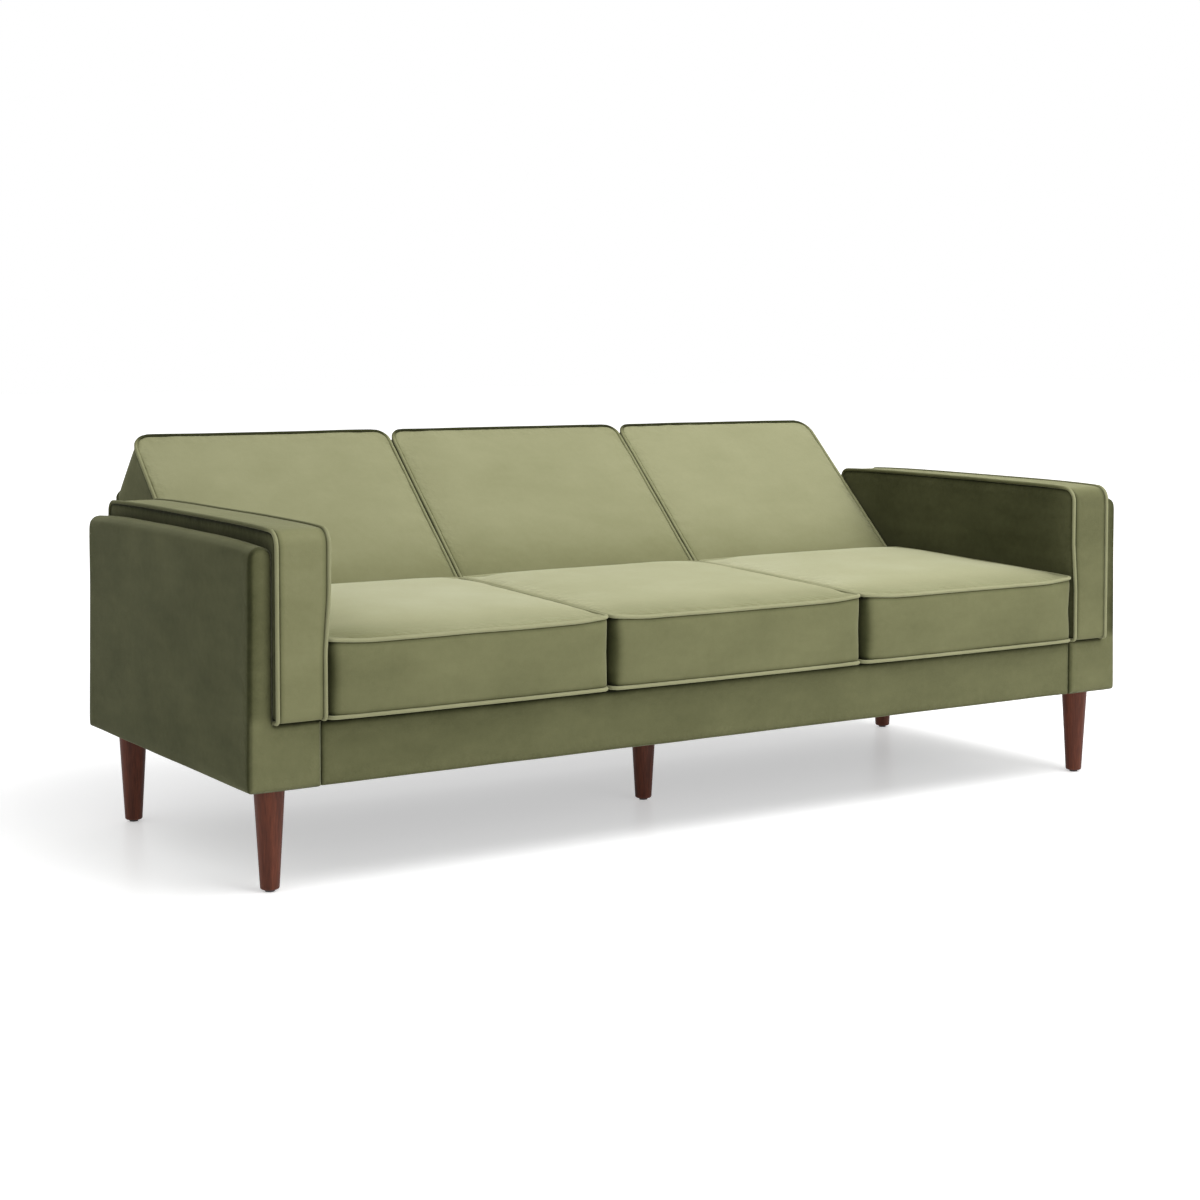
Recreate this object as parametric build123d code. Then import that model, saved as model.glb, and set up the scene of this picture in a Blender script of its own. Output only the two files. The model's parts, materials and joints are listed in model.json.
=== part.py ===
"""Three-seat click-clack sofa bed: fixed arms and seat, one back that reclines on two ratchet hinges.

Millimetres. X runs along the sofa, +X to the right of someone who faces its front. Y runs from the front
to the rear, Z up. Everything is laid out from the front face of the arm bases (Y = 0), the floor (Z = 0)
and the middle of the sofa (X = 0), then moved so that the origin is the middle of its footprint.
"""
from build123d import *
from math import cos, radians, sin, sqrt
import os

# Overall and arms
WIDTH = 2130.0
ARM_DEPTH = 814.0
SIDE_PANEL = 48.0
SIDE_PANEL_TOP = 634.0
SIDE_PANEL_ROUND = 22.0
ARM_PAD_WIDTH = 94.0
ARM_PAD_PROUD = 20.0
ARM_PAD_REAR = 809.0
ARM_PAD_BOTTOM = 312.0
ARM_PAD_TOP = 657.0
ARM_PAD_CORNER = 30.0
ARM_SKIN = 12.0
BASE_SKIN = 2.0
ARM_BOLT_RADIUS = 4.0
ARM_BOLT_HEAD = (9.0, 3.0)

# Base frame
BASE_BOTTOM = 192.0
BASE_TOP = 312.0
RAIL = 24.0
APRON_SET_BACK = 4.0
APRON_PADDING = 14.0
REAR_RAIL_TOP = 290.0
BEAM_WIDTH = 44.0
BEAM_HEIGHT = 46.0
BLOCK_LEG = 60.0
BLOCK_HEIGHT = 70.0

# Seat
SEAT_FRONT = -18.0
SEAT_REAR = 590.0
SEAT_TOP = 457.0
SEAT_RISE = 18.0
SEAT_HALF_WIDTH = 919.0
SEAT_FRONT_CORNER = 24.0
SEAT_EDGE = 10.0
FELT = 4.0
COVER = 6.0
SEAM_GAP = 0.6
CLOTH = 2.0
CLOTH_EDGE = 7.0
STRAPS = 14
STRAP = 60.0
WEBBING = 1.5
WEBBING_END = 4.0

# Back, measured from its pivot in its own upright frame: depth to the rear, height upwards
PIVOT_Y = 636.0
PIVOT_Z = 430.0
LEAN = 47.4
LEAN_FLAT = 90.0
LEAN_UPRIGHT = 15.0
BACK_HALF_WIDTH = 914.0
BACK_FRONT = -40.0
BACK_REAR = 125.0
BACK_BOTTOM = -25.0
BACK_TOP = 470.0
BACK_CORNER = 36.0
BACK_JOINS = (-298.0, 328.0)
BACK_FRAME = (72.0, 118.0)
BACK_RAIL_HEIGHT = 42.0
BACK_TOP_RAIL = 372.0
UPRIGHT_WIDTH = 40.0
BACK_STRAP_Z = (70.0, 165.0, 260.0)
REAR_PANEL_EDGE = 10.0

# Legs
LEG_X = 1000.0
LEG_FRONT_Y = 61.5
LEG_REAR_Y = 737.0
LEG_CENTRE_Y = 343.0
LEG_TOP_RADIUS = 28.5
LEG_FOOT_RADIUS = 17.5
LEG_PLATE = 80.0
LEG_PLATE_THICKNESS = 2.5
GLIDE_RADIUS = 9.0
GLIDE_HEIGHT = 4.0
LEG_FOOT_EDGE = 4.0
HANGER_RADIUS = 4.0
HANGER_LENGTH = 50.0
HANGER_MIDDLE = 186.0
SCREW_OFFSET = 26.0
SCREW_ROW = 32.0
SCREW_RADIUS = 2.0
SCREW_LENGTH = 17.0
SCREW_HEAD = (4.0, 2.0)
GLIDE_STEM = (2.5, 12.0)

# Hinges: layers from the arm inwards, all 8.8 mm between the arm pad and the back
HINGE_PLATE = 2.5
HINGE_OUTER = 922.8
RATCHET_THICKNESS = 3.3
PAWL_GAP = 0.3
HUB_RADIUS = 30.0
PIVOT_RADIUS = 5.0
PIVOT_HEAD_RADIUS = 8.0
RUNNING = 0.05
RATCHET_RADIUS = 25.0
PAWL_PIVOT = (30.0, 38.0)
PAWL_PIN_RADIUS = 3.0
PAWL_LIFT = 12.0
HINGE_BOLT_RADIUS = 4.0
FIXED_BOLT_REACH = 20.0
MOVING_BOLT_REACH = 30.0
HEAD_SUNK = 1.2
HEAD_SINK = 1.3

# Derived places
HALF = WIDTH / 2
PANEL_INNER = HALF - SIDE_PANEL
ARM_INNER = PANEL_INNER - ARM_PAD_WIDTH
SILL_INNER = ARM_INNER + 1
FRAME_BOTTOM = BASE_BOTTOM + BASE_SKIN
FRAME_REAR = ARM_DEPTH - ARM_SKIN
RAIL_FRONT = APRON_SET_BACK + APRON_PADDING
RAIL_BACK = RAIL_FRONT + RAIL
SEAT_BOTTOM = BASE_TOP + FELT
SEAT_JOIN = SEAT_HALF_WIDTH * 0.341
BACK_RAIL_BOTTOM = BACK_BOTTOM + COVER + 5
BACK_FRAME_HALF = BACK_HALF_WIDTH - COVER
BOARD = (PANEL_INNER + 13, PANEL_INNER + 35)
POST = (ARM_INNER + 25, PANEL_INNER - 25)
REAR_POST_Y = (650.0, 716.0)
FRONT_POST_Y = (30.0, 96.0)
POST_Z = (336.0, 600.0)
ARM_BOLT_Z = (376.0, 560.0)
ARM_RAIL_HEIGHT = 34.0
HINGE_BLOCK_Y = (612.0, REAR_POST_Y[1])
HINGE_BLOCK_Z = (382.0, 478.0)
FIXED_PLATE_X = (HINGE_OUTER - HINGE_PLATE, HINGE_OUTER)
RATCHET_X = (FIXED_PLATE_X[0] - RATCHET_THICKNESS, FIXED_PLATE_X[0])
PAWL_X = (RATCHET_X[0] + 0.2, FIXED_PLATE_X[0] - PAWL_GAP)
MOVING_PLATE_X = (BACK_HALF_WIDTH + 0.2, BACK_HALF_WIDTH + 0.2 + HINGE_PLATE)
FIXED_BOLTS = [(684.0, 396.0), (684.0, 464.0), (706.0, 430.0)]
MOVING_BOLTS = [(95.0, 22.0), (95.0, 62.0), (95.0, 102.0)]
SIDES = {"left": -1, "right": 1}
PLACES = ("left", "middle", "right")


def slab(x, y, z):
    """A box between pairs of limits, given in either order."""
    spans = [sorted(pair) for pair in (x, y, z)]
    centre = [(low + high) / 2 for low, high in spans]
    size = [high - low for low, high in spans]
    return Pos(*centre) * Box(*size)


def rod_x(x, y, z, radius):
    """A cylinder along X between two limits."""
    low, high = sorted(x)
    return Pos((low + high) / 2, y, z) * Rot(0, 90, 0) * Cylinder(radius, high - low)


def plate_x(x, outline):
    """A plate between two X limits with an outline of (Y, Z) points."""
    low, high = sorted(x)
    face = make_face(Polyline(*[(low, y, z) for y, z in outline], close=True))
    return extrude(face, high - low, dir=(1, 0, 0))


def mirrored(shape):
    """The same piece on the left side."""
    return mirror(shape, about=Plane.YZ)


def both(shape):
    """The right-hand piece and its mirror image, as separate solids."""
    return [shape, mirrored(shape)]


def on_back(shape):
    """Stand a piece of the back, drawn upright about its pivot, at the back's lean."""
    return Pos(0, PIVOT_Y, PIVOT_Z) * Rot(-LEAN, 0, 0) * shape


def join_limits(place, half_width, joins):
    """The X limits of the left, middle or right cushion of a row of three."""
    edges = [-half_width, *joins, half_width]
    index = PLACES.index(place)
    inner_gap = SEAM_GAP / 2
    low = edges[index] + (inner_gap if index > 0 else 0)
    high = edges[index + 1] - (inner_gap if index < 2 else 0)
    return low, high


# Arms, drawn for the right side

def arm_bolts():
    """Four carriage bolts from the side board through both posts."""
    head_radius, head_height = ARM_BOLT_HEAD
    bolts = []
    for y_pair in (FRONT_POST_Y, REAR_POST_Y):
        for z in ARM_BOLT_Z:
            middle = sum(y_pair) / 2
            shank = rod_x((POST[0] + ARM_BOLT_RADIUS, BOARD[1]), middle, z, ARM_BOLT_RADIUS)
            head = rod_x((BOARD[1], BOARD[1] + head_height), middle, z, head_radius)
            bolts.append(shank + head)
    return bolts


def side_board():
    board = slab(BOARD, (ARM_SKIN, FRAME_REAR), (FRAME_BOTTOM, SIDE_PANEL_TOP - ARM_SKIN))
    return board - arm_bolts()


def sill():
    return slab((SILL_INNER, BOARD[0]), (ARM_SKIN, FRAME_REAR), (FRAME_BOTTOM, BASE_TOP - ARM_SKIN))


def arm_shell():
    """Velvet and padding round the side board and the sill: an L in section, round along its top."""
    wall = slab((PANEL_INNER, HALF), (0, ARM_DEPTH), (BASE_BOTTOM, SIDE_PANEL_TOP))
    top_edges = wall.edges().filter_by(Axis.Y).group_by(Axis.Z)[-1]
    wall = fillet(top_edges, SIDE_PANEL_ROUND)
    foot = slab((SILL_INNER, PANEL_INNER), (0, ARM_DEPTH), (BASE_BOTTOM, BASE_TOP))
    return wall + foot - sill() - side_board() - arm_bolts()


def arm_posts():
    posts = [slab(POST, y_pair, POST_Z) for y_pair in (FRONT_POST_Y, REAR_POST_Y)]
    return [post - arm_bolts() - fixed_bolts() for post in posts]


def arm_rails():
    y_pair = (FRONT_POST_Y[1], REAR_POST_Y[0])
    lower = slab(POST, y_pair, (POST_Z[0], POST_Z[0] + ARM_RAIL_HEIGHT))
    upper = slab(POST, y_pair, (POST_Z[1] - ARM_RAIL_HEIGHT, POST_Z[1]))
    return [lower, upper]


def hinge_block():
    block = slab((ARM_INNER, POST[0]), HINGE_BLOCK_Y, HINGE_BLOCK_Z)
    return block - fixed_bolts()


def arm_pad():
    """The padded slab inside the side panel, standing proud of it in front and above."""
    pad = slab((ARM_INNER, PANEL_INNER), (-ARM_PAD_PROUD, ARM_PAD_REAR), (ARM_PAD_BOTTOM, ARM_PAD_TOP))
    top_corners = pad.edges().filter_by(Axis.X).group_by(Axis.Z)[-1]
    pad = fillet(top_corners, ARM_PAD_CORNER)
    return pad - arm_posts() - arm_rails() - hinge_block() - arm_bolts() - fixed_bolts()


def arm_rear_cloth():
    x = (ARM_INNER + CLOTH_EDGE, PANEL_INNER - CLOTH_EDGE)
    z = (ARM_PAD_BOTTOM + CLOTH_EDGE, ARM_PAD_TOP - ARM_PAD_CORNER - CLOTH_EDGE)
    return slab(x, (ARM_PAD_REAR, ARM_PAD_REAR + CLOTH), z)


# Base frame

def front_rail():
    return slab((-SILL_INNER, SILL_INNER), (RAIL_FRONT, RAIL_BACK), (FRAME_BOTTOM, BASE_TOP))


def front_apron():
    """Padding and velvet over the front rail, turned under it."""
    outer = slab((-SILL_INNER, SILL_INNER), (APRON_SET_BACK, RAIL_BACK), (BASE_BOTTOM, BASE_TOP))
    return outer - front_rail()


def seat_rear_rail():
    rail_z = (FRAME_BOTTOM + BEAM_HEIGHT, BASE_TOP)
    return slab((-SILL_INNER, SILL_INNER), (SEAT_REAR - RAIL, SEAT_REAR), rail_z)


def rear_rail():
    return slab((-SILL_INNER, SILL_INNER), (FRAME_REAR - RAIL, FRAME_REAR), (FRAME_BOTTOM, REAR_RAIL_TOP))


def centre_beam():
    x = (-BEAM_WIDTH / 2, BEAM_WIDTH / 2)
    beam = slab(x, (RAIL_BACK, FRAME_REAR - RAIL), (FRAME_BOTTOM, FRAME_BOTTOM + BEAM_HEIGHT))
    return beam - hanger_bolts() - plate_screws()


def corner_blocks():
    """Triangular glue blocks in the four corners of the base frame."""
    blocks = []
    for y, step in ((RAIL_BACK, BLOCK_LEG), (FRAME_REAR - RAIL, -BLOCK_LEG)):
        corner = [(SILL_INNER, y), (SILL_INNER - BLOCK_LEG, y), (SILL_INNER, y + step)]
        face = make_face(Polyline(*[(px, py, FRAME_BOTTOM + 6) for px, py in corner], close=True))
        blocks += both(extrude(face, BLOCK_HEIGHT, dir=(0, 0, 1)))
    return blocks


def dust_cover():
    """Thin cloth stapled under the frame."""
    y = (RAIL_BACK, FRAME_REAR + BASE_SKIN)
    under = slab((-SILL_INNER, SILL_INNER), y, (BASE_BOTTOM, FRAME_BOTTOM))
    return under - hanger_bolts() - plate_screws()


def rear_rail_cloth():
    y = (FRAME_REAR, FRAME_REAR + BASE_SKIN)
    return slab((-SILL_INNER, SILL_INNER), y, (FRAME_BOTTOM, REAR_RAIL_TOP))


# Seat

def seat_webbing():
    """Elastic straps from the front rail to the seat's rear rail, evenly spaced."""
    pitch = 2 * ARM_INNER / STRAPS
    z = (BASE_TOP, BASE_TOP + WEBBING)
    centres = [-ARM_INNER + pitch * (i + 0.5) for i in range(STRAPS)]
    return [slab((x - STRAP / 2, x + STRAP / 2), (RAIL_FRONT, SEAT_REAR), z) for x in centres]


def seat_felt():
    """Felt between the straps and the seat cushions."""
    return slab((-ARM_INNER, ARM_INNER), (RAIL_FRONT, SEAT_REAR), (BASE_TOP + WEBBING, SEAT_BOTTOM))


def seat_block(place, inset):
    """A seat cushion's outline, rising to the rear, inset by the thickness of its cover or by nothing."""
    low, high = join_limits(place, SEAT_HALF_WIDTH, (-SEAT_JOIN, SEAT_JOIN))
    front, rear = SEAT_FRONT + inset, SEAT_REAR - inset
    side = [
        (front, SEAT_BOTTOM + inset),
        (rear, SEAT_BOTTOM + inset),
        (rear, SEAT_TOP + SEAT_RISE - inset),
        (front, SEAT_TOP - inset),
    ]
    wedge = plate_x((low + inset, high - inset), side)
    uprights = wedge.edges().filter_by(Axis.Z).group_by(Axis.Y)
    wedge = fillet(uprights[0], SEAT_FRONT_CORNER - inset)
    top, bottom = wedge.faces().sort_by(Axis.Z)[-1], wedge.faces().sort_by(Axis.Z)[0]
    return fillet(top.edges() + bottom.edges(), SEAT_EDGE - inset)


# Back, drawn upright about its pivot

def back_block(place, inset):
    """One section of the back: round at its top corners, and round about the pivot at its lower front."""
    low, high = join_limits(place, BACK_HALF_WIDTH, BACK_JOINS)
    low, high = low + inset, high - inset
    nose = -BACK_FRONT - inset
    bottom = BACK_BOTTOM + inset
    nose_depth = -sqrt(nose**2 - bottom**2)
    middle = radians(45) * (-bottom / nose)
    profile = [
        Line((low, -nose, 0), (low, -nose, BACK_TOP - inset)),
        Line((low, -nose, BACK_TOP - inset), (low, BACK_REAR - inset, BACK_TOP - inset)),
        Line((low, BACK_REAR - inset, BACK_TOP - inset), (low, BACK_REAR - inset, bottom)),
        Line((low, BACK_REAR - inset, bottom), (low, nose_depth, bottom)),
        ThreePointArc(
            (low, nose_depth, bottom),
            (low, -nose * cos(middle), -nose * sin(middle)),
            (low, -nose, 0),
        ),
    ]
    solid = extrude(make_face(profile), high - low, dir=(1, 0, 0))
    top_corners = solid.edges().filter_by(Axis.Y).group_by(Axis.Z)[-1]
    return fillet(top_corners, BACK_CORNER - inset)


def back_rail(bottom):
    return slab((-BACK_FRAME_HALF, BACK_FRAME_HALF), BACK_FRAME, (bottom, bottom + BACK_RAIL_HEIGHT))


def back_bottom_rail():
    return back_rail(BACK_RAIL_BOTTOM) - moving_bolts_all()


def back_top_rail():
    return back_rail(BACK_TOP_RAIL)


def back_uprights():
    """Four uprights between the rails: one at each end, one behind each seam."""
    z = (BACK_RAIL_BOTTOM + BACK_RAIL_HEIGHT, BACK_TOP_RAIL)
    end = BACK_FRAME_HALF - UPRIGHT_WIDTH / 2
    uprights = []
    for x in (-end, *BACK_JOINS, end):
        post = slab((x - UPRIGHT_WIDTH / 2, x + UPRIGHT_WIDTH / 2), BACK_FRAME, z)
        uprights.append(post - moving_bolts_all())
    return uprights


def back_webbing():
    """Elastic straps across the front of the back's frame."""
    half = BACK_FRAME_HALF - WEBBING_END
    depth = (BACK_FRAME[0] - WEBBING, BACK_FRAME[0])
    return [slab((-half, half), depth, (z, z + STRAP)) for z in BACK_STRAP_Z]


def back_foam(place):
    front_half = slab((-HALF, HALF), (BACK_FRONT, BACK_FRAME[0] - WEBBING), (BACK_BOTTOM, BACK_TOP))
    return back_block(place, COVER) & front_half


def back_cushion(place):
    """The velvet cover of one section. The frame, straps and hinge bolts pass through its sides."""
    shell = back_block(place, 0) - back_block(place, COVER)
    frame = [back_bottom_rail(), back_top_rail(), *back_uprights(), *back_webbing()]
    return shell - frame - moving_bolts_all() - pivot_relief()


def back_rear_panel():
    half = BACK_HALF_WIDTH - REAR_PANEL_EDGE
    z = (BACK_BOTTOM + REAR_PANEL_EDGE, BACK_TOP - BACK_CORNER)
    return slab((-half, half), (BACK_REAR, BACK_REAR + CLOTH), z)


# Hinges, drawn for the right side; pieces that move with the back are drawn upright about the pivot

def fixed_bolts():
    """Screws through the fixed plate and the hinge block into the rear post."""
    x = (FIXED_PLATE_X[0], POST[0] + FIXED_BOLT_REACH)
    return [rod_x(x, y, z, HINGE_BOLT_RADIUS) for y, z in FIXED_BOLTS]


def moving_bolts():
    """Bolts through the moving plate and the cover into the end of the back's frame."""
    inner = BACK_FRAME_HALF - MOVING_BOLT_REACH
    return [rod_x((inner, MOVING_PLATE_X[1]), y, z, HINGE_BOLT_RADIUS) for y, z in MOVING_BOLTS]


def moving_bolts_all():
    return [bolt for right in moving_bolts() for bolt in both(right)]


def fixed_plate():
    tail = slab(FIXED_PLATE_X, (PIVOT_Y, REAR_POST_Y[1]), (384, 476))
    hub = rod_x(FIXED_PLATE_X, PIVOT_Y, PIVOT_Z, HUB_RADIUS)
    return tail + hub - pivot_pin() - fixed_bolts()


def moving_plate():
    tail = slab(MOVING_PLATE_X, (-22, 108), (0, 120))
    hub = rod_x(MOVING_PLATE_X, 0, 0, HUB_RADIUS)
    bore = rod_x(MOVING_PLATE_X, 0, 0, PIVOT_RADIUS + RUNNING)
    sink = rod_x((MOVING_PLATE_X[0], MOVING_PLATE_X[0] + HEAD_SINK), 0, 0, PIVOT_HEAD_RADIUS + 0.2)
    return tail + hub - bore - sink - pawl_pin() - moving_bolts()


def pivot_pin():
    """A shouldered rivet: its head is sunk in the moving plate, its shank is fast in the fixed plate."""
    shank = rod_x((MOVING_PLATE_X[0], HINGE_OUTER), PIVOT_Y, PIVOT_Z, PIVOT_RADIUS)
    head = rod_x((MOVING_PLATE_X[0], MOVING_PLATE_X[0] + HEAD_SUNK), PIVOT_Y, PIVOT_Z, PIVOT_HEAD_RADIUS)
    return shank + head


def pivot_relief():
    """Shallow dimples in the ends of the outer covers, clear of the rivet heads."""
    return both(rod_x((BACK_HALF_WIDTH - 1, BACK_HALF_WIDTH), 0, 0, PIVOT_HEAD_RADIUS + 2))


def ratchet_notch(lean):
    """A notch for the pawl's tooth: one steep flank takes the load, the other lets the tooth out."""
    outline = [(-2.3, 20.1), (2.3, 20.1), (2.9, 27.0), (-7.0, 27.0)]
    notch = plate_x(RATCHET_X, outline)
    return Pos(0, PIVOT_Y, PIVOT_Z) * Rot(-lean, 0, 0) * notch


def ratchet_disc():
    """The disc riveted to the fixed plate, with a notch for each of the back's three positions."""
    disc = rod_x(RATCHET_X, PIVOT_Y, PIVOT_Z, RATCHET_RADIUS)
    notches = [ratchet_notch(lean) for lean in (LEAN_UPRIGHT, LEAN, LEAN_FLAT)]
    return disc - notches - pivot_pin()


def pawl():
    """The locking pawl, drawn in its notch and then lifted clear of the disc."""
    outline = [(-1.5, 20.6), (1.8, 20.6), (2.3, 30.0), (28.0, 31.5), (28.0, 44.5), (-2.0, 38.0), (-4.0, 30.0)]
    arm = plate_x(PAWL_X, outline)
    boss = rod_x(PAWL_X, *PAWL_PIVOT, 7)
    bore = rod_x(PAWL_X, *PAWL_PIVOT, PAWL_PIN_RADIUS + RUNNING)
    to_pivot = Pos(0, *PAWL_PIVOT)
    return to_pivot * Rot(-PAWL_LIFT, 0, 0) * to_pivot.inverse() * (arm + boss - bore)


def pawl_pin():
    return rod_x((MOVING_PLATE_X[0], PAWL_X[1]), *PAWL_PIVOT, PAWL_PIN_RADIUS)


def pawl_spring():
    """A leaf spring from its rivet to just above the lifted pawl."""
    leaf_x = (PAWL_X[0] + 0.3, PAWL_X[1] - 0.3)
    leaf = plate_x(leaf_x, [(4.0, 45.4), (40.0, 45.4), (52.0, 56.0), (51.2, 57.0), (39.6, 46.3), (4.0, 46.3)])
    return leaf + rod_x((MOVING_PLATE_X[1], leaf_x[1]), 52, 58, 4)


# Legs

def leg_places():
    return {
        "front_left": (-LEG_X, LEG_FRONT_Y),
        "front_right": (LEG_X, LEG_FRONT_Y),
        "rear_left": (-LEG_X, LEG_REAR_Y),
        "rear_right": (LEG_X, LEG_REAR_Y),
        "centre": (0, LEG_CENTRE_Y),
    }


def leg(place):
    x, y = leg_places()[place]
    top = BASE_BOTTOM - LEG_PLATE_THICKNESS
    taper = Cone(LEG_FOOT_RADIUS, LEG_TOP_RADIUS, top - GLIDE_HEIGHT)
    taper = fillet(taper.edges().group_by(Axis.Z)[0], LEG_FOOT_EDGE)
    return Pos(x, y, (top + GLIDE_HEIGHT) / 2) * taper - hanger_bolts() - leg_glides()


def leg_plates():
    half = LEG_PLATE / 2
    z = (BASE_BOTTOM - LEG_PLATE_THICKNESS, BASE_BOTTOM)
    plates = [slab((x - half, x + half), (y - half, y + half), z) for x, y in leg_places().values()]
    return [plate - hanger_bolts() - plate_screws() for plate in plates]


def hanger_bolts():
    bolt = Cylinder(HANGER_RADIUS, HANGER_LENGTH)
    return [Pos(x, y, HANGER_MIDDLE) * bolt for x, y in leg_places().values()]


def plate_screws():
    """Four wood screws up through each leg plate."""
    head_radius, head_height = SCREW_HEAD
    head_z = BASE_BOTTOM - LEG_PLATE_THICKNESS
    screws = []
    for x, y in leg_places().values():
        reach = min(SCREW_OFFSET, BEAM_WIDTH / 2 - 6) if x == 0 else SCREW_OFFSET
        for dx in (-reach, reach):
            for dy in (-SCREW_ROW, SCREW_ROW):
                shank = Pos(x + dx, y + dy, head_z + SCREW_LENGTH / 2) * Cylinder(SCREW_RADIUS, SCREW_LENGTH)
                head = Pos(x + dx, y + dy, head_z - head_height / 2) * Cylinder(head_radius, head_height)
                screws.append(shank + head)
    return screws


def leg_glides():
    """Black glides with a short stem up into the leg."""
    stem_radius, stem_length = GLIDE_STEM
    glides = []
    for x, y in leg_places().values():
        foot = Pos(x, y, GLIDE_HEIGHT / 2) * Cylinder(GLIDE_RADIUS, GLIDE_HEIGHT)
        stem = Pos(x, y, GLIDE_HEIGHT + stem_length / 2) * Cylinder(stem_radius, stem_length)
        glides.append(foot + stem)
    return glides


def arm_pieces():
    pieces = {}
    for name, build in {"side_board": side_board, "arm_pad": arm_pad}.items():
        pieces[f"right_{name}"] = build()
        pieces[f"left_{name}"] = mirrored(build())
    for name, build in {"sill": sill, "arm_shell": arm_shell}.items():
        for side, sign in SIDES.items():
            piece = build() if sign > 0 else mirrored(build())
            pieces[f"{side}_{name}"] = piece - hanger_bolts() - plate_screws()
    for name, build in {"arm_bolts": arm_bolts, "arm_posts": arm_posts, "arm_rails": arm_rails}.items():
        pieces[name] = [half for piece in build() for half in both(piece)]
    pieces["hinge_blocks"] = both(hinge_block())
    pieces["arm_rear_cloths"] = both(arm_rear_cloth())
    return pieces


def base_pieces():
    pieces = {
        "front_rail": front_rail(),
        "front_apron": front_apron(),
        "seat_rear_rail": seat_rear_rail(),
        "rear_rail": rear_rail(),
        "centre_beam": centre_beam(),
        "corner_blocks": corner_blocks(),
        "dust_cover": dust_cover(),
        "rear_rail_cloth": rear_rail_cloth(),
        "leg_plates": leg_plates(),
        "hanger_bolts": hanger_bolts(),
        "plate_screws": plate_screws(),
        "leg_glides": leg_glides(),
    }
    for place in leg_places():
        pieces[f"leg_{place}"] = leg(place)
    return pieces


def seat_pieces():
    pieces = {"seat_webbing": seat_webbing(), "seat_felt": seat_felt()}
    for place in PLACES:
        pieces[f"seat_foam_{place}"] = seat_block(place, COVER)
        pieces[f"seat_cushion_{place}"] = seat_block(place, 0) - seat_block(place, COVER)
    return pieces


def back_pieces():
    pieces = {
        "back_bottom_rail": back_bottom_rail(),
        "back_top_rail": back_top_rail(),
        "back_uprights": back_uprights(),
        "back_webbing": back_webbing(),
        "back_rear_panel": back_rear_panel(),
        "hinge_moving_plates": both(moving_plate()),
        "hinge_moving_bolts": moving_bolts_all(),
        "pawl_pins": both(pawl_pin()),
        "pawl_springs": both(pawl_spring()),
        "right_pawl": pawl(),
        "left_pawl": mirrored(pawl()),
    }
    for place in PLACES:
        pieces[f"back_foam_{place}"] = back_foam(place)
        pieces[f"back_cushion_{place}"] = back_cushion(place)
    standing = {}
    for name, piece in pieces.items():
        standing[name] = [on_back(p) for p in piece] if isinstance(piece, list) else on_back(piece)
    return standing


def hinge_pieces():
    return {
        "hinge_fixed_plates": both(fixed_plate()),
        "hinge_fixed_bolts": [bolt for right in fixed_bolts() for bolt in both(right)],
        "ratchet_discs": both(ratchet_disc()),
        "pivot_pins": both(pivot_pin()),
    }


def solids_in(piece):
    if isinstance(piece, list):
        return [solid for item in piece for solid in solids_in(item)]
    return list(piece.solids())


def main():
    os.makedirs("parts", exist_ok=True)
    pieces = {**arm_pieces(), **base_pieces(), **seat_pieces(), **back_pieces(), **hinge_pieces()}
    solids = {name: solids_in(piece) for name, piece in pieces.items()}
    boxes = [solid.bounding_box() for group in solids.values() for solid in group]
    front = min(box.min.Y for box in boxes)
    rear = max(box.max.Y for box in boxes)
    to_origin = Pos(0, -(front + rear) / 2, 0)
    for name, group in solids.items():
        moved = [to_origin * solid for solid in group]
        node = moved[0] if len(moved) == 1 else Compound(children=moved)
        export_step(node, f"parts/{name}.step")
    pivots = {
        "back pivot": Pos(0, PIVOT_Y, PIVOT_Z),
        "pawl pivot": on_back(Pos(0, *PAWL_PIVOT)),
    }
    print(len(solids), "nodes, front and rear at", front, rear)
    for name, place in pivots.items():
        print(name, (to_origin * place).position)


main()
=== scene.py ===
"""The sofa bed's looks: velvet covers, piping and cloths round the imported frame, and a plain studio.

Metres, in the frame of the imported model: +X to the right of someone facing the sofa, +Y to its rear, +Z up.
"""
import json
import math

import bpy
import numpy as np
from mathutils import Matrix, Vector, noise


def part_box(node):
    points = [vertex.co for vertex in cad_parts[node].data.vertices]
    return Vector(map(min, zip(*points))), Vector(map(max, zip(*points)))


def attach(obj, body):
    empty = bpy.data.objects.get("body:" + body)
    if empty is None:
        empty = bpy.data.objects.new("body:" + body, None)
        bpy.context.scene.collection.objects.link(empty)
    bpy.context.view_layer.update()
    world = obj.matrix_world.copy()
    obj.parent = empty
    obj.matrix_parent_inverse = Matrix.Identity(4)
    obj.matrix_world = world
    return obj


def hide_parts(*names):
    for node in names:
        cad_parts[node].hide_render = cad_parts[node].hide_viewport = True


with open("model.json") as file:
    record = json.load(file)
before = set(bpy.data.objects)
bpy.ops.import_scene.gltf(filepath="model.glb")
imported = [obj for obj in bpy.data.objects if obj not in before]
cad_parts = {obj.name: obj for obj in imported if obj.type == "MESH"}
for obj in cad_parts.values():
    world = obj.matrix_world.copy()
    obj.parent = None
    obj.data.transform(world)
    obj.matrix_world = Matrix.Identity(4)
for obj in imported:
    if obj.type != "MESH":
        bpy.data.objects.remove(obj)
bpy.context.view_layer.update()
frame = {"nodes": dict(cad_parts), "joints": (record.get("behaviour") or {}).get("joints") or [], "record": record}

noise.seed_set(1)  # noise vectors start from the time of day otherwise
MM = 0.001
RIGHT, REAR, UP = Vector((1, 0, 0)), Vector((0, 1, 0)), Vector((0, 0, 1))
PLACES = ("left", "middle", "right")

# The camera that the photograph's proportions give
CAMERA_AT = Vector((-2.6136, -4.0675, 1.0070))
CAMERA_YAW = 0.572
CAMERA_PITCH = -0.054
CAMERA_LENS = 65.8
CAMERA_SHIFT_Y = -0.125

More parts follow.
